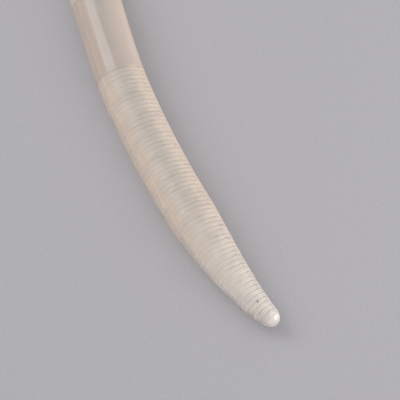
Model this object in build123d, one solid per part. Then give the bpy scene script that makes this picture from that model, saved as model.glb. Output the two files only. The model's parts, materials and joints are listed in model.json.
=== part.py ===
"""Soft plastic stick worm, about 130 mm long, for fishing: a solid, soft moulding with rings from end to end.

A smooth collar divides the ringed head from the longer ringed tail, which tapers to a small domed
tip. The moulding bends anywhere, so it is divided at its ring grooves into short stiff sections that
meet in shallow ball ends. Each section turns about a point on the centreline at its own middle.

Frame: +X from the tail tip towards the nose, +Z up, origin on the resting surface below the centre
of the bounding box.
"""

from build123d import *
import os
from math import atan2, cos, pi, radians, sin, sqrt

# Driving dimensions, in millimetres and degrees
BODY_RADIUS = 4.75  # over the collar and the ring crests
RING_PITCH = 0.98
RING_RELIEF = 0.12  # from groove to crest
RINGS_PER_SECTION = 5
HEAD_SECTIONS = 9  # flexing sections between the collar and the nose
TAIL_SECTIONS = 11  # flexing sections between the collar and the tail tip
COLLAR_LENGTH = 17.6
COLLAR_EDGE = 0.3  # length of the rounded edge at each end of the collar
NOSE_RADIUS = 3.4  # where the nose's dome begins
NOSE_DOME = 3.2  # length of the nose's dome
TIP_RADIUS = 2.0
TIP_DOME = 1.4
HEAD_TAPER_START = 24.0  # distance from the collar
TAIL_TAPER_START = 32.5
HEAD_TAPER_POWER = 2.0
TAIL_TAPER_POWER = 1.38
JOINT_GAP = 0.1  # between a ball end and the cup that it turns in

# How the worm lies: head and collar straight, the tail in a curve that tightens towards its tip
TAIL_TURN = 3.8  # degrees, at the collar's tail end
TAIL_CURVE = 0.265  # degrees per millimetre
TIP_HOOK = 9.8  # further degrees, gathered near the tail tip
TIP_HOOK_POWER = 6.5
DROOP = 0.55  # share of the taper by which the centreline drops towards the surface

# Derived sizes
SECTION_LENGTH = RINGS_PER_SECTION * RING_PITCH
HALF_SECTION = SECTION_LENGTH / 2
HALF_COLLAR = COLLAR_LENGTH / 2
HEAD_RINGED = (HEAD_SECTIONS + 1) * SECTION_LENGTH  # the nose carries one section's rings too
TAIL_RINGED = (TAIL_SECTIONS + 1) * SECTION_LENGTH
CURVE_STEP = 0.25  # for adding up the centreline


def crest_radius(side, reach):
    """Radius over the ring crests, at a distance from the collar on the tail or head side."""
    start, ringed, end, power = {
        "tail": (TAIL_TAPER_START, TAIL_RINGED, TIP_RADIUS, TAIL_TAPER_POWER),
        "head": (HEAD_TAPER_START, HEAD_RINGED, NOSE_RADIUS, HEAD_TAPER_POWER),
    }[side]
    share = min(max((reach - start) / (ringed - start), 0.0), 1.0)
    return BODY_RADIUS - (BODY_RADIUS - end) * share**power


def groove_radius(side, reach):
    """Radius at the bottom of a ring groove."""
    return crest_radius(side, reach) - RING_RELIEF


def heading(station):
    """Direction of the centreline in plan, in radians. Stations run from the collar's middle, tail positive."""
    reach = station - HALF_COLLAR
    if reach <= HALF_SECTION:  # straight as far as the tail's first pivot
        return 0.0
    hook = TIP_HOOK * (reach / TAIL_RINGED) ** TIP_HOOK_POWER
    return radians(TAIL_TURN + TAIL_CURVE * reach + hook)


def centreline(station):
    """Point on the centreline: its plan from adding up short steps, its height from the taper."""
    steps = max(1, round(abs(station) / CURVE_STEP))
    step = station / steps
    middles = [step * (i + 0.5) for i in range(steps)]
    side = "tail" if station > 0 else "head"
    radius = crest_radius(side, abs(station) - HALF_COLLAR)
    return Vector(
        sum(cos(heading(m)) for m in middles) * step,
        sum(sin(heading(m)) for m in middles) * step,
        BODY_RADIUS - DROOP * (BODY_RADIUS - radius),
    )


def arc_about(centre, start, end):
    """Arc in the profile plane from start to end about a centre on the axis."""
    radius = (start - Vector(centre, 0)).length
    middle = (start - Vector(centre, 0)).normalized() + (end - Vector(centre, 0)).normalized()
    return ThreePointArc(start, Vector(centre, 0) + middle.normalized() * radius, end)


def on_ball(centre, ball_radius, wall_radius):
    """Point where a ball about a centre on the axis meets a wall, on the side towards the collar."""
    return Vector(centre - sqrt(ball_radius**2 - wall_radius**2), wall_radius)


def ring_arcs(side, first_reach, start, end=None):
    """One section's ring crests, each an arc from groove to groove, from a start point to an end point."""
    arcs = []
    here = start
    for i in range(RINGS_PER_SECTION):
        crest_x = -HALF_SECTION + RING_PITCH * (i + 0.5)
        groove_x = crest_x + RING_PITCH / 2
        reach = first_reach + groove_x + HALF_SECTION
        crest = Vector(crest_x, crest_radius(side, reach - RING_PITCH / 2))
        groove = Vector(groove_x, groove_radius(side, reach))
        if i == RINGS_PER_SECTION - 1 and end is not None:
            groove = end
        arcs.append(ThreePointArc(here, crest, groove))
        here = groove
    return arcs


def turned(edges):
    """Solid turned about the X axis from a profile that starts and ends on it."""
    closing = Line(edges[-1] @ 1, edges[0] @ 0)
    return revolve(make_face(Curve() + [*edges, closing]), Axis.X)


def ball_radius(side, reach):
    """Radius of the ball, centred half a section further out, that passes through the groove here."""
    return sqrt(groove_radius(side, reach) ** 2 + HALF_SECTION**2)


def ball_end(side, reach):
    """Edge from the axis over the ball end to the wall, with the ball's centre at the local origin."""
    radius = ball_radius(side, reach) - JOINT_GAP / 2
    return arc_about(0, Vector(-radius, 0), on_ball(0, radius, groove_radius(side, reach)))


def cup_end(side, reach, centre):
    """Edge from the wall down the cup to the axis, for the ball end that turns about centre."""
    radius = ball_radius(side, reach) + JOINT_GAP / 2
    rim = on_ball(centre, radius, groove_radius(side, reach))
    return arc_about(centre, rim, Vector(centre - radius, 0))


def section(side, number):
    """Flexing section: a ball end towards the collar, five rings, and a cup for the next section's ball."""
    first = number * SECTION_LENGTH
    ball = ball_end(side, first)
    cup = cup_end(side, first + SECTION_LENGTH, SECTION_LENGTH)
    return turned([ball, *ring_arcs(side, first, ball @ 1, cup @ 0), cup])


def end_section(side, number, dome_length):
    """Nose or tail tip: a ball end, five rings and a smooth dome."""
    first = number * SECTION_LENGTH
    ball = ball_end(side, first)
    rings = ring_arcs(side, first, ball @ 1)
    base = rings[-1] @ 1
    dome_radius = (base.Y**2 + dome_length**2) / (2 * dome_length)
    end = Vector(base.X + dome_length, 0)
    return turned([ball, *rings, arc_about(end.X - dome_radius, base, end)])


def collar():
    """Smooth collar with a cup in each end, about its own middle, tail end towards +X."""
    cup = cup_end("tail", 0, HALF_COLLAR + HALF_SECTION)
    rim = cup @ 0
    edge_start = Vector(rim.X - COLLAR_EDGE, BODY_RADIUS)
    edge = TangentArc(edge_start, rim, tangent=Vector(1, 0))
    half = turned([Line((0, 0), (0, BODY_RADIUS)), Line((0, BODY_RADIUS), edge_start), edge, cup])
    return half + mirror(half, Plane.YZ)


def frame_along(origin, ahead):
    """Plane at origin whose X points ahead and whose Z is as near upright as that allows."""
    ahead = ahead.normalized()
    upright = (Vector(0, 0, 1) - ahead * ahead.Z).normalized()
    return Plane(origin=origin, x_dir=ahead, z_dir=upright)


def station_of(side, reach):
    """Station on the centreline at a distance from the collar."""
    return (HALF_COLLAR + reach) * (1 if side == "tail" else -1)


def pivots_of(side, count):
    """Turning points of one side's sections, outwards from the collar: the middle of each section."""
    reaches = [SECTION_LENGTH * (i + 0.5) for i in range(count + 1)]
    return [centreline(station_of(side, reach)) for reach in reaches]


def end_point(side, ringed, dome_length):
    """Point on the centreline at the end of the nose or tail tip."""
    return centreline(station_of(side, ringed + dome_length))


tail_pivots = pivots_of("tail", TAIL_SECTIONS)
head_pivots = pivots_of("head", HEAD_SECTIONS)
tip_point = end_point("tail", TAIL_RINGED, TIP_DOME)
nose_point = end_point("head", HEAD_RINGED, NOSE_DOME)

# Each node: its solid about its own pivot, the pivot and the point that its axis runs to
collar_middle = (head_pivots[0] + tail_pivots[0]) * 0.5
placed = {"collar": (collar(), collar_middle, tail_pivots[0])}
for i in range(HEAD_SECTIONS):
    placed[f"head_section_{i + 1}"] = (section("head", i), head_pivots[i], head_pivots[i + 1])
placed["nose"] = (end_section("head", HEAD_SECTIONS, NOSE_DOME), head_pivots[-1], nose_point)
for i in range(TAIL_SECTIONS):
    placed[f"tail_section_{i + 1:02d}"] = (section("tail", i), tail_pivots[i], tail_pivots[i + 1])
placed["tail_tip"] = (end_section("tail", TAIL_SECTIONS, TIP_DOME), tail_pivots[-1], tip_point)

# The chord from the tail tip to the nose lies along +X, and the bounding box stands on the origin
chord = nose_point - tip_point
to_row = Rotation(0, 0, -atan2(chord.Y, chord.X) * 180 / pi)
solids = {
    name: to_row * (frame_along(pivot, ahead - pivot) * solid)
    for name, (solid, pivot, ahead) in placed.items()
}
box = Compound(list(solids.values())).bounding_box()
to_origin = Pos(-box.center().X, -box.center().Y, -box.min.Z)

os.makedirs("parts", exist_ok=True)
for name, solid in solids.items():
    export_step(to_origin * solid, f"parts/{name}.step")
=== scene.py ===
"""The looks of the soft plastic worm: a continuous ringed skin of clear, peach-tinted plastisol
on a plain grey table in soft studio light.

The skin is one piece for each CAD node. It follows one smooth curve through the joints' pivots,
and neighbouring pieces meet at seams on the ring crests.
"""

import json
import math

import bpy
import numpy as np
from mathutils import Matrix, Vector


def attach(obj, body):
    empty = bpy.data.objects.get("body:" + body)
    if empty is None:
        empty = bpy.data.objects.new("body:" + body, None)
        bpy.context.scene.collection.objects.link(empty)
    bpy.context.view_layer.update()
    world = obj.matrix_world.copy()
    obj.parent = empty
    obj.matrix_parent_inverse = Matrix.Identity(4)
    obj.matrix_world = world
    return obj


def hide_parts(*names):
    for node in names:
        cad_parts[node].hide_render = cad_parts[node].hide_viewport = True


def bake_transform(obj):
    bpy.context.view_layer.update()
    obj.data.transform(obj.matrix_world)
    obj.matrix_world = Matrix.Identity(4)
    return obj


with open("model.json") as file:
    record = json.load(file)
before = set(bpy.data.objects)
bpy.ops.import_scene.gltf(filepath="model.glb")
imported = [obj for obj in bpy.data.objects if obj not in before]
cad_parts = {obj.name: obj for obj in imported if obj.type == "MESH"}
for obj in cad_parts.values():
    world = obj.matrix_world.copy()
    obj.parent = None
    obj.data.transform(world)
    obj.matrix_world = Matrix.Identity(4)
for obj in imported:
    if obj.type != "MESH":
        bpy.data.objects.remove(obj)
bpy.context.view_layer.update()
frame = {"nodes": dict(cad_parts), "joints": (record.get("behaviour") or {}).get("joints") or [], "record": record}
mounts = {m["name"]: m for m in frame["record"]["mounts"]}

# Sizes of the moulding, in metres
MM = 0.001
BODY_RADIUS = mounts["collar_band"]["dims"]["r_mm"] * MM
RING_PITCH = 0.98 * MM
RING_RELIEF = 0.2 * MM  # from groove to crest, where the rings haven't faded
RINGS_PER_SECTION = 5
HALF_SECTION = RING_PITCH * RINGS_PER_SECTION / 2
NOSE_RADIUS = 3.4 * MM
NOSE_DOME = 3.2 * MM
TIP_RADIUS = 2.0 * MM
TIP_DOME = 1.4 * MM
HEAD_TAPER_START = 24.0 * MM
TAIL_TAPER_START = 32.5 * MM
HEAD_TAPER_POWER = 2.0
TAIL_TAPER_POWER = 1.38
COLLAR_EDGE = 0.3 * MM  # length of the rounded edge at each end of the collar

# The rings in detail: how they vary round the worm and along it
RING_ROUNDNESS = 1.2  # 1 is a half wave, and more is a narrower crest
SECOND_LINE = 0.28  # how much of a ring's relief is its fine second line
TIP_SECOND_LINE = 0.6  # the same at the tail tip
RING_WANDER = 0.05  # in ring pitches
RELIEF_UNEVENNESS = 0.35
TIP_RELIEF = 0.3  # how much deeper the rings are at the tail tip
FADE = 0.8  # share of the relief that is lost on the faded side
FADE_END_POWER = 4.0  # how late the faded side's rings come back towards the tail tip
FADE_SIDE = math.radians(35)  # middle of the faded side, up from the side where each row starts
WAVES = ((2, 0.9, 0.0), (3, -1.7, 1.0), (7, 2.3, 0.0))  # turns round a row, radians per mm, start
DOME_UNEVENNESS_POWER = 3  # how soon the last ring's unevenness is lost on a dome
# The sides' tint is painted light, a warm glow of light through the plastic; the same side mask also lowers the
# clearness there.
FLANK_GLOW_POWER = 1.5  # how far up the sides' tint stays at the sides

# Flaws of this moulding. Their angles are up from the side where each row starts.
SPECK_REACH = 55.1 * MM  # from the collar's tail end towards the tip
SPECK_ANGLE = math.radians(82)
SPECK_SIZE = 0.28 * MM
BUBBLE_REACH = 13.3 * MM  # from the collar's tail end towards the head
BUBBLE_ANGLE = math.radians(86)
BUBBLE_SIZE = 0.24 * MM
GRAIN_UNEVENNESS = 0.2

BLEND_INSET = 0.2 * MM  # how far in from each end of a piece bend_with finds a point on the line, which it does not use
TANGENT_STEP = 0.05 * MM  # either way along the line, to find its direction

# How finely the skin is meshed
COLLAR_ROWS = 48
COLLAR_EDGE_ROWS = 7
COLUMNS = 112
ROWS_PER_RING = 12
DOME_ROWS = 20
GRAIN_ROWS = 9
GRAIN_COLUMNS = 14
ANGLES = np.linspace(0, 2 * math.pi, COLUMNS, endpoint=False)  # round a row, from one side up

# Plastisol. Tints and clearness, the share of light that goes through, are given on top, at the
# sides and at the tip. The sides' warmer, deeper tints are painted light: a warm glow standing in
# for light that passes through the plastic to its sides. Roughness has a low and a high value.
# The collar's top and side tints are painted shade: darkened to stand in for the shaded table seen through the
# clear collar.
BAND_TINTS = (0.60, 0.545, 0.51, 1), (0.64, 0.515, 0.425, 1), (0.98, 0.94, 0.90, 1)
RING_TINTS = (0.85, 0.78, 0.72, 1), (0.79, 0.65, 0.53, 1), (0.93, 0.88, 0.84, 1)
# The tip tints, on the dome and the tapered rings, are paler: partly the plastic's own tone and partly painted
# light, standing in for light gathered in the thin tip and its dome.
BAND_CLEARNESS = (0.5, 0.15, 0.5)
RING_CLEARNESS = (0.55, 0.2, 0.4)
BAND_ROUGHNESS = (0.44, 0.48)
RING_ROUGHNESS = (0.4, 0.48)
BAND_COAT = 1.0
RING_COAT = 0.5
# Painted shade: the base colour is darkened towards the bottom of each groove, where shade falls between the
# rings; 1 paints none.
BAND_PAINTED_GROOVE_SHADE = 1.0  # how dark the bottom of a groove is, against the crest
RING_PAINTED_GROOVE_SHADE = 0.58
BODY_IOR = 1.22
COAT_IOR = 1.5
COAT_ROUGHNESS = 0.1
SHEEN = 0.15
SHEEN_TINT = (1.0, 0.75, 0.5, 1)
SHEEN_ROUGHNESS = 0.4
CLOUDING = 0.96  # the darkest clouds in the plastic, against its tint
CLOUD_SCALE = 260  # noise scales are features in a metre
HAZE_SCALE = 900
BUMP_SCALE = 2600
BUMP_DETAIL = 3.0
BUMP_STRENGTH = 0.05
BUMP_DISTANCE = 0.03 * MM

# Speck, bubble and table
SPECK_GREYS = (0.01, 0.03)
SPECK_ROUGHNESS = 0.6
# The bubble is a whitish bead; its near-white greys are partly a painted glint, standing in for the light an air
# bubble catches.
BUBBLE_GLINT_GREYS = (0.8, 0.95)
BUBBLE_ROUGHNESS = 0.15
FLAW_SCALE = 8000
TABLE_SIZE = 3.0
TABLE_DARK = (0.353, 0.351, 0.38, 1)
TABLE_LIGHT = (0.399, 0.397, 0.429, 1)
TABLE_SPREAD = (0.3, 0.7)  # where in the noise the dark and the light tint are reached
TABLE_SCALE = 3000
TABLE_ROUGHNESS = 0.7
TABLE_SPECULAR = 0.2

# Camera: the direction of view, and the width that the picture shows at the aim point
CAMERA_ELEVATION = math.radians(61.0)
CAMERA_TURN = math.radians(16.35)  # between the collar's axis and the line of sight, in plan
CAMERA_DISTANCE = 2.5
CAMERA_CLIP = (0.01, 10.0)
SENSOR_WIDTH = 36.0  # in millimetres
PICTURE_WIDTH = 75.8 * MM
AIM_RIGHT = 17.3 * MM  # from the collar's middle, across and towards the camera
AIM_NEAR = 32.0 * MM

# Lights: directions are across to the right, away from the camera, and up. Sizes are in metres, and
# powers in watts.
KEY_FROM = (-0.62, 0.22, 0.75)
KEY_DISTANCE = 0.6
KEY_SIZE = (0.37, 0.47)
KEY_POWER = 1.2
FILL_FROM = (0.88, -0.1, 0.35)
FILL_DISTANCE = 0.6
FILL_SIZE = (0.5, 0.35)
FILL_POWER = 3.15
FILL_TINT = (1.0, 0.93, 0.85)
WORLD_LIGHT = 0.77
HORIZON = (0.3, 0.3, 0.32, 1)
ZENITH = (1, 1, 1, 1)
SKY_SPREAD = (0.05, 0.75)  # how far up the two tints are reached, where 1 is straight up


# ---------------------------------------------------------------- the worm's line

joints = {j["child"]: j for j in frame["joints"]}
tail_nodes = sorted(n for n in frame["nodes"] if n.startswith("tail_section")) + ["tail_tip"]
head_nodes = sorted(n for n in frame["nodes"] if n.startswith("head_section")) + ["nose"]


def pivot(node):
    """The point that a node's joint turns about."""
    return np.array(joints[node]["pos_m"])


def far_point(node):
    """The CAD node's point furthest from its pivot, which on the nose or tip is the dome's end."""
    points = np.array([v.co for v in frame["nodes"][node].data.vertices])
    return points[np.argmax(np.linalg.norm(points - pivot(node), axis=1))]


class Spline:
    """Natural cubic spline through points. A place on it is a distance along the points."""

    def __init__(self, points):
        self.points = np.array(points)
        gaps = np.linalg.norm(np.diff(self.points, axis=0), axis=1)
        self.at = np.concatenate([[0.0], np.cumsum(gaps)])
        # The second derivatives: zero at both ends, and with no jump in the slope in between
        count = len(points)
        matrix = np.eye(count)
        right = np.zeros((count, 3))
        for i in range(1, count - 1):
            before, after = gaps[i - 1], gaps[i]
            matrix[i, i - 1 : i + 2] = before, 2 * (before + after), after
            slopes = np.diff(self.points[i - 1 : i + 2], axis=0) / [[before], [after]]
            right[i] = 6 * (slopes[1] - slopes[0])
        self.second = np.linalg.solve(matrix, right)

    def __call__(self, where):
        """The point at a distance along the spline's points."""
        i = int(np.clip(np.searchsorted(self.at, where) - 1, 0, len(self.at) - 2))
        gap = self.at[i + 1] - self.at[i]
        a = (self.at[i + 1] - where) / gap
        b = 1 - a
        bow = ((a**3 - a) * self.second[i] + (b**3 - b) * self.second[i + 1]) * gap**2 / 6
        return a * self.points[i] + b * self.points[i + 1] + bow


order = list(reversed(head_nodes)) + tail_nodes
line = Spline([far_point("nose"), *[pivot(n) for n in order], far_point("tail_tip")])

# Stations are distances along the line from the nose
station = {node: line.at[i + 1] for i, node in enumerate(order)}
head_end = station["head_section_1"] + HALF_SECTION
tail_start = station["tail_section_01"] - HALF_SECTION
TAIL_RINGED = len(tail_nodes) * 2 * HALF_SECTION
HEAD_RINGED = len(head_nodes) * 2 * HALF_SECTION


def grooves_between(nodes, first, last):
    """Stations where the sections of one side meet, from the collar's end outwards."""
    return [first] + [(station[a] + station[b]) / 2 for a, b in zip(nodes, nodes[1:])] + [last]


tail_grooves = grooves_between(tail_nodes, tail_start, station["tail_tip"] + HALF_SECTION)
head_grooves = grooves_between(head_nodes, head_end, station["nose"] - HALF_SECTION)

# The pieces of the skin meet on the ring crest next to each groove, where the surface is level
extent = {"collar": (head_end, tail_start)}
for nodes, grooves, outwards in ((tail_nodes, tail_grooves, 1), (head_nodes, head_grooves, -1)):
    crests = [groove + outwards * RING_PITCH / 2 for groove in grooves[1:-1]]
    seams = [grooves[0]] + crests + [grooves[-1]]
    for node, near, far in zip(nodes, seams, seams[1:]):
        extent[node] = (min(near, far), max(near, far))


def ring_phase(where):
    """Rings counted outwards from the collar: whole numbers are grooves and halves are crests."""
    outwards, grooves = (1, tail_grooves) if where >= tail_start else (-1, head_grooves)
    rings = [RINGS_PER_SECTION * i for i in range(len(grooves))]
    return float(np.interp(outwards * where, [outwards * g for g in grooves], rings))


def cross_section(where):
    """Centre, and the unit vectors to the side and upwards, of the section square to the line."""
    ahead = line(where + TANGENT_STEP) - line(where - TANGENT_STEP)
    ahead /= np.linalg.norm(ahead)
    side = np.cross(ahead, (0, 0, 1))
    side /= np.linalg.norm(side)
    return line(where), side, np.cross(side, ahead)


def crest_radius(where):
    """Radius over the ring crests at a station, before the domes."""
    if where > tail_start:
        start, ringed, end, power = TAIL_TAPER_START, TAIL_RINGED, TIP_RADIUS, TAIL_TAPER_POWER
        reach = where - tail_start
    else:
        start, ringed, end, power = HEAD_TAPER_START, HEAD_RINGED, NOSE_RADIUS, HEAD_TAPER_POWER
        reach = head_end - where
    share = min(max((reach - start) / (ringed - start), 0.0), 1.0)
    return BODY_RADIUS - (BODY_RADIUS - end) * share**power


def tip_share(where):
    """How far along the tail's taper a station lies, from 0 to 1."""
    reach = where - tail_start - TAIL_TAPER_START
    return float(min(max(reach / (TAIL_RINGED - TAIL_TAPER_START), 0.0), 1.0))


def unevenness(where):
    """Slow wandering between -1 and 1 round each row, different from ring to ring."""
    waves = [np.sin(turns * ANGLES + slope * where / MM + start) for turns, slope, start in WAVES]
    return sum(waves) / len(WAVES)


def ring_height(where, phase):
    """Height over the groove, from 0 to 1, round a row: a crest with a fine second line in it."""
    phase = phase + RING_WANDER * unevenness(where)
    crest = np.abs(np.sin(math.pi * phase)) ** RING_ROUNDNESS
    second = (1 - np.cos(4 * math.pi * phase)) / 2
    share = SECOND_LINE + (TIP_SECOND_LINE - SECOND_LINE) * tip_share(where)
    return (1 - share) * crest + share * second


def ring_depth(where, phase):
    """How far the surface lies below the crest radius, round a row. The rings fade on one side."""
    turn = np.cos(ANGLES - FADE_SIDE)
    faded = FADE * np.clip(turn, 0, 1) * (1 - tip_share(where) ** FADE_END_POWER)
    relief = RING_RELIEF * (1 - faded) * (1 + RELIEF_UNEVENNESS * unevenness(where))
    relief *= 1 + TIP_RELIEF * tip_share(where)
    return relief * (1 - ring_height(where, phase))


# ---------------------------------------------------------------- materials


def principled(name, **values):
    """A new material with one Principled shader whose sockets hold these values."""
    material = bpy.data.materials.new(name)
    material.use_nodes = True
    shader = material.node_tree.nodes["Principled BSDF"]
    for socket, value in values.items():
        shader.inputs[socket.replace("_", " ")].default_value = value
    return material, material.node_tree, shader


def noise(tree, scale, detail=2.0):
    """A noise texture over the piece's own coordinates, with this many features in a metre."""
    where = tree.nodes.new("ShaderNodeTexCoord")
    texture = tree.nodes.new("ShaderNodeTexNoise")
    texture.inputs["Scale"].default_value = scale
    texture.inputs["Detail"].default_value = detail
    tree.links.new(where.outputs["Object"], texture.inputs["Vector"])
    return texture.outputs["Fac"]


def ramp(tree, value, low, high, start=0.35, end=0.65):
    """A colour or number that goes from low to high as value goes from start to end."""
    node = tree.nodes.new("ShaderNodeValToRGB")
    node.color_ramp.elements[0].position = start
    node.color_ramp.elements[1].position = end
    node.color_ramp.elements[0].color = low
    node.color_ramp.elements[1].color = high
    tree.links.new(value, node.inputs["Fac"])
    return node.outputs["Color"]


def mixed(tree, share, low, high):
    """A colour between two others; each may be a colour or a socket."""
    node = tree.nodes.new("ShaderNodeMix")
    node.data_type = "RGBA"
    tree.links.new(share, node.inputs["Factor"])
    for socket, colour in ((node.inputs["A"], low), (node.inputs["B"], high)):
        if isinstance(colour, tuple):
            socket.default_value = colour
        else:
            tree.links.new(colour, socket)
    return node.outputs["Result"]


def multiplied(tree, first, second):
    """Two colours multiplied together."""
    node = tree.nodes.new("ShaderNodeMix")
    node.data_type = "RGBA"
    node.blend_type = "MULTIPLY"
    node.inputs["Factor"].default_value = 1.0
    tree.links.new(first, node.inputs["A"])
    tree.links.new(second, node.inputs["B"])
    return node.outputs["Result"]


def attribute(tree, name):
    """A number that each point of the mesh carries."""
    node = tree.nodes.new("ShaderNodeAttribute")
    node.attribute_name = name
    return node.outputs["Fac"]


def grey(level):
    """A colour, or a number for a ramp, with this level in every channel."""
    return (level, level, level, 1)


def make_plastisol(name, tints, clearness, roughness, coat, painted_groove_shade):
    """Soft plastic, partly clear, with a peach tint, faint clouds and a gloss coat, a painted warm
    glow at the sides and painted shade in the grooves.
    """
    material, tree, shader = principled(
        name,
        IOR=BODY_IOR,
        Coat_Weight=coat,
        Coat_Roughness=COAT_ROUGHNESS,
        Coat_IOR=COAT_IOR,
        Sheen_Weight=SHEEN,
        Sheen_Tint=SHEEN_TINT,
        Sheen_Roughness=SHEEN_ROUGHNESS,
    )
    # The sides' tint is painted light, a warm glow standing in for light through the plastic; the same side mask
    # also lowers the clearness there.
    flank_glow, paleness = attribute(tree, "flank_glow"), attribute(tree, "paleness")

    def over_body(top, side, tip):
        return mixed(tree, paleness, mixed(tree, flank_glow, top, side), tip)

    cloud = noise(tree, CLOUD_SCALE)
    clouded = [ramp(tree, cloud, (*[c * CLOUDING for c in tint[:3]], 1), tint) for tint in tints]
    # Painted shade: the base colour darkens with the depth of the groove.
    painted_shade = ramp(tree, attribute(tree, "groove"), grey(1.0), grey(painted_groove_shade), 0.0, 1.0)
    tree.links.new(multiplied(tree, over_body(*clouded), painted_shade), shader.inputs["Base Color"])
    clear = over_body(*[grey(level) for level in clearness])
    tree.links.new(clear, shader.inputs["Transmission Weight"])
    haze = ramp(tree, noise(tree, HAZE_SCALE), *[grey(level) for level in roughness])
    tree.links.new(haze, shader.inputs["Roughness"])
    bump = tree.nodes.new("ShaderNodeBump")
    bump.inputs["Strength"].default_value = BUMP_STRENGTH
    bump.inputs["Distance"].default_value = BUMP_DISTANCE
    tree.links.new(noise(tree, BUMP_SCALE, BUMP_DETAIL), bump.inputs["Height"])
    tree.links.new(bump.outputs["Normal"], shader.inputs["Normal"])
    return material


def make_inner_joint():
    """Where two pieces of the skin meet inside the moulding: it neither bends nor mirrors light."""
    clear = {"Base_Color": grey(1.0), "IOR": 1.0, "Roughness": 0.0, "Transmission_Weight": 1.0}
    return principled("inner_joint", **clear)[0]


def make_flaw(name, greys, **values):
    """The surface of a tiny flaw, uneven between two greys."""
    material, tree, shader = principled(name, **values)
    tint = ramp(tree, noise(tree, FLAW_SCALE), *[grey(level) for level in greys])
    tree.links.new(tint, shader.inputs["Base Color"])
    return material


def make_table():
    """Plain grey, slightly mottled, dull."""
    finish = {"Roughness": TABLE_ROUGHNESS, "Specular_IOR_Level": TABLE_SPECULAR}
    material, tree, shader = principled("table", **finish)
    tint = ramp(tree, noise(tree, TABLE_SCALE), TABLE_DARK, TABLE_LIGHT, *TABLE_SPREAD)
    tree.links.new(tint, shader.inputs["Base Color"])
    return material


smooth_plastisol = make_plastisol(
    "smooth_plastisol", BAND_TINTS, BAND_CLEARNESS, BAND_ROUGHNESS, BAND_COAT, BAND_PAINTED_GROOVE_SHADE
)
ringed_plastisol = make_plastisol(
    "ringed_plastisol", RING_TINTS, RING_CLEARNESS, RING_ROUGHNESS, RING_COAT, RING_PAINTED_GROOVE_SHADE
)
inner_joint = make_inner_joint()


# ---------------------------------------------------------------- meshes


def ring_points(where, radius):
    """One row of the skin: points round the line, starting at the side and going up."""
    centre, side, up = cross_section(where)
    outwards = np.cos(ANGLES)[:, None] * side + np.sin(ANGLES)[:, None] * up
    return centre + radius[:, None] * outwards


def ringed_rows(node):
    """Rows of a ringed section, from its end nearer the nose to its end nearer the tail."""
    first, last = extent[node]
    count = round(abs(ring_phase(last) - ring_phase(first)) * ROWS_PER_RING)
    for where in np.linspace(first, last, count + 1):
        yield where, crest_radius(where) - ring_depth(where, ring_phase(where))


def dome_rows(node, length, towards):
    """Rows of the dome on the nose (towards = -1) or the tail tip (+1), short of its pole."""
    base = extent[node][0 if towards < 0 else 1]
    rim = crest_radius(base) - ring_depth(base, 0)
    base_radius = float(np.mean(rim))
    ball = (base_radius**2 + length**2) / (2 * length)
    start = math.atan2(base_radius, length - ball)
    for i in range(1, DOME_ROWS):
        to_pole = 1 - i / DOME_ROWS
        angle = start * to_pole
        uneven = (rim - base_radius) * to_pole**DOME_UNEVENNESS_POWER
        where = base + towards * (length - ball + ball * math.cos(angle))
        yield where, ball * math.sin(angle) + uneven


def collar_rows():
    """Rows of the smooth collar, with a rounded edge down to the first groove at each end."""
    drop = np.linspace(0, 1, COLLAR_EDGE_ROWS)
    first, last = extent["collar"]
    near = [(first + COLLAR_EDGE * d, 1 - math.sqrt(1 - (1 - d) ** 2)) for d in drop[:-1]]
    middle = [(w, 0.0) for w in np.linspace(first + COLLAR_EDGE, last - COLLAR_EDGE, COLLAR_ROWS)]
    far = [(first + last - w, share) for w, share in reversed(near)]
    for where, share in near + middle + far:
        yield where, BODY_RADIUS - ring_depth(where, 0) * share


def link(piece):
    """Puts an object in the scene."""
    bpy.context.scene.collection.objects.link(piece)
    return piece


def skin(name, rows, finish, near_pole=None, far_pole=None, smooth_rows=()):
    """Closed mesh through rows. Each end runs to a pole or closes flat against its neighbour."""
    rings = [ring_points(where, radius) for where, radius in rows]
    points = [p for ring in rings for p in ring]
    # How far each point lies to the side: where the painted warm glow and the lower clearness go.
    flank_glow = list(np.abs(np.cos(ANGLES)) ** FLANK_GLOW_POWER) * len(rings)
    # Paler towards the tip: partly the plastic's own tone and partly painted light, standing in for light gathered
    # in the thin tip.
    paleness = [tip_share(where) for where, _ in rows for _ in ANGLES]
    # How deep each point lies below the crest, which sets the painted shade in the grooves.
    depths = [(crest_radius(where) - radius) / RING_RELIEF for where, radius in rows]
    groove = [depth for row in depths for depth in row]
    outer, inner, smooth = range(3)  # material indices, in the order that they are added below
    faces = []
    materials = []
    for r in range(len(rings) - 1):
        this, after = r * COLUMNS, (r + 1) * COLUMNS
        for c in range(COLUMNS):
            d = (c + 1) % COLUMNS
            faces.append((this + c, this + d, after + d, after + c))
            materials.append(smooth if r in smooth_rows else outer)
    for row, pole, flip in ((0, near_pole, True), (len(rings) - 1, far_pole, False)):
        first = row * COLUMNS
        hub = len(points)
        points.append(np.mean(rings[row], axis=0) if pole is None else pole)
        flank_glow.append(0.0)
        groove.append(0.0)
        paleness.append(paleness[first])
        for c in range(COLUMNS):
            a, b = first + c, first + (c + 1) % COLUMNS
            faces.append((b, a, hub) if flip else (a, b, hub))
            materials.append(inner if pole is None else smooth)
    mesh = bpy.data.meshes.new(name)
    mesh.from_pydata([tuple(p) for p in points], [], faces)
    mesh.polygons.foreach_set("material_index", materials)
    mesh.polygons.foreach_set("use_smooth", [m != inner for m in materials])
    for material in (finish, inner_joint, smooth_plastisol):
        mesh.materials.append(material)
    for attribute_name, numbers in (("flank_glow", flank_glow), ("paleness", paleness), ("groove", groove)):
        mesh.attributes.new(attribute_name, "FLOAT", "POINT").data.foreach_set("value", numbers)
    mesh.validate()
    mesh.update()
    return link(bpy.data.objects.new(name, mesh))


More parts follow.
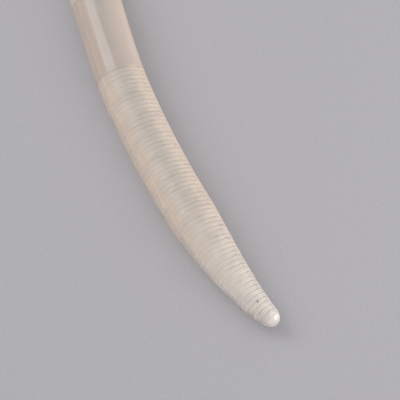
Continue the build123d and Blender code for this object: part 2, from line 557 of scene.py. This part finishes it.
def grain(name, where, angle, size, finish):
    """A small uneven ball, sunk by half in the skin at a station and an angle round it."""
    centre, side, up = cross_section(where)
    middle = centre + (math.cos(angle) * side + math.sin(angle) * up) * crest_radius(where)
    pole = np.array((0, 0, size / 2))
    points = [middle + pole, middle - pole]
    for down in np.linspace(0, math.pi, GRAIN_ROWS + 2)[1:-1]:
        out = math.sin(down)
        for turn in np.linspace(0, 2 * math.pi, GRAIN_COLUMNS, endpoint=False):
            reach = size / 2 * (1 + GRAIN_UNEVENNESS * math.sin(3 * turn + 2 * down) * out)
            way = (out * math.cos(turn), out * math.sin(turn), math.cos(down))
            points.append(middle + reach * np.array(way))
    last = 2 + (GRAIN_ROWS - 1) * GRAIN_COLUMNS  # the first point of the lowest row
    faces = []
    for c in range(GRAIN_COLUMNS):
        d = (c + 1) % GRAIN_COLUMNS
        faces += [(0, 2 + c, 2 + d), (1, last + d, last + c)]
        for row in range(2, last, GRAIN_COLUMNS):
            faces.append((row + c, row + GRAIN_COLUMNS + c, row + GRAIN_COLUMNS + d, row + d))
    mesh = bpy.data.meshes.new(name)
    mesh.from_pydata([tuple(p) for p in points], [], faces)
    mesh.polygons.foreach_set("use_smooth", [True] * len(faces))
    mesh.materials.append(finish)
    return link(bpy.data.objects.new(name, mesh))


def bend_with(piece, node):
    """Bakes a piece's placement into its mesh. Points on the line near the node's ends are found but not used."""
    near, far = extent[node]
    if node in head_nodes:
        near, far = far, near
    inset = BLEND_INSET if far > near else -BLEND_INSET
    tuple(line(near + inset))
    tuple(line(far - inset))
    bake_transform(piece)


def build_worm():
    """The skin pieces, each over its CAD node, and the two flaws."""
    for node in order:
        rows = list(ringed_rows(node))
        dome = {}
        if node == "tail_tip":
            smooth_rows = range(len(rows) - 1, len(rows) + DOME_ROWS)
            dome = {"far_pole": far_point(node), "smooth_rows": smooth_rows}
            rows += list(dome_rows(node, TIP_DOME, 1))
        if node == "nose":
            dome = {"near_pole": far_point(node), "smooth_rows": range(DOME_ROWS - 1)}
            rows = list(dome_rows(node, NOSE_DOME, -1))[::-1] + rows
        piece = skin(f"{node}_skin", rows, ringed_plastisol, **dome)
        bend_with(piece, node)
        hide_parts(node)
    piece = skin("collar_skin", list(collar_rows()), smooth_plastisol)
    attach(piece, "collar")
    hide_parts("collar")
    dirt = make_flaw("speck", SPECK_GREYS, Roughness=SPECK_ROUGHNESS)
    speck = grain("speck", tail_start + SPECK_REACH, SPECK_ANGLE, SPECK_SIZE, dirt)
    bend_with(speck, "tail_tip")
    # The bubble's near-white greys are partly a painted glint of light on an air bubble.
    bubble_glint = make_flaw("bubble", BUBBLE_GLINT_GREYS, Roughness=BUBBLE_ROUGHNESS, Coat_Weight=1.0)
    bubble = grain("bubble", tail_start - BUBBLE_REACH, BUBBLE_ANGLE, BUBBLE_SIZE, bubble_glint)
    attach(bubble, "collar")


build_worm()


# ---------------------------------------------------------------- table, camera and light

collar_middle = Vector(mounts["collar_band"]["pos_m"])
tailwards = Vector(pivot("tail_section_01") - pivot("head_section_1")).normalized()
sine, cosine = math.sin(CAMERA_TURN), math.cos(CAMERA_TURN)
near_x = tailwards.x * cosine + tailwards.y * sine
near_y = tailwards.y * cosine - tailwards.x * sine
near_way = Vector((near_x, near_y, 0)).normalized()  # over the table, towards the camera
right_way = Vector((-near_way.y, near_way.x, 0))
aim = collar_middle.xy.to_3d() + right_way * AIM_RIGHT + near_way * AIM_NEAR


def direction(right, away, up):
    """A direction given as the camera sees the table: across, away and up."""
    return (right_way * right - near_way * away + Vector((0, 0, up))).normalized()


def add_table():
    """A flat table under the worm, wider than the picture shows."""
    mesh = bpy.data.meshes.new("table")
    half = TABLE_SIZE / 2
    corners = [(x, y, 0) for x, y in ((-half, -half), (half, -half), (half, half), (-half, half))]
    mesh.from_pydata(corners, [], [(0, 1, 2, 3)])
    mesh.materials.append(make_table())
    link(bpy.data.objects.new("table", mesh))


def point_at(obj, place, target):
    """Puts obj at a place so that it looks at the target with its top upwards."""
    obj.location = place
    obj.rotation_mode = "QUATERNION"
    obj.rotation_quaternion = (target - place).to_track_quat("-Z", "Y")


def add_camera():
    """The photo's camera: far away, with a long lens that shows the worm's tail."""
    lens = bpy.data.cameras.new("camera")
    lens.sensor_width = SENSOR_WIDTH
    lens.lens = SENSOR_WIDTH * CAMERA_DISTANCE / PICTURE_WIDTH
    lens.clip_start, lens.clip_end = CAMERA_CLIP
    camera = link(bpy.data.objects.new("camera", lens))
    back = direction(0, -math.cos(CAMERA_ELEVATION), math.sin(CAMERA_ELEVATION))
    point_at(camera, aim + back * CAMERA_DISTANCE, aim)
    bpy.context.scene.camera = camera


def add_softbox(name, way, distance, size, power, colour=(1, 1, 1), shadow=True):
    """A rectangular area light that faces the worm from a direction."""
    light = bpy.data.lights.new(name, "AREA")
    light.shape = "RECTANGLE"
    light.size, light.size_y = size
    light.energy = power
    light.color = colour
    light.use_shadow = shadow
    lamp = link(bpy.data.objects.new(name, light))
    point_at(lamp, aim + direction(*way) * distance, aim)


def add_world():
    """Even light from above that darkens towards the horizon."""
    world = bpy.data.worlds.new("world")
    world.use_nodes = True
    tree = world.node_tree
    where = tree.nodes.new("ShaderNodeTexCoord")
    split = tree.nodes.new("ShaderNodeSeparateXYZ")
    tree.links.new(where.outputs["Generated"], split.inputs["Vector"])
    sky = ramp(tree, split.outputs["Z"], HORIZON, ZENITH, *SKY_SPREAD)
    tree.links.new(sky, tree.nodes["Background"].inputs["Color"])
    tree.nodes["Background"].inputs["Strength"].default_value = WORLD_LIGHT
    bpy.context.scene.world = world


add_table()
add_camera()
add_softbox("key", KEY_FROM, KEY_DISTANCE, KEY_SIZE, KEY_POWER)
add_softbox("fill", FILL_FROM, FILL_DISTANCE, FILL_SIZE, FILL_POWER, FILL_TINT, shadow=False)
add_world()
bpy.context.scene.view_settings.view_transform = "Standard"
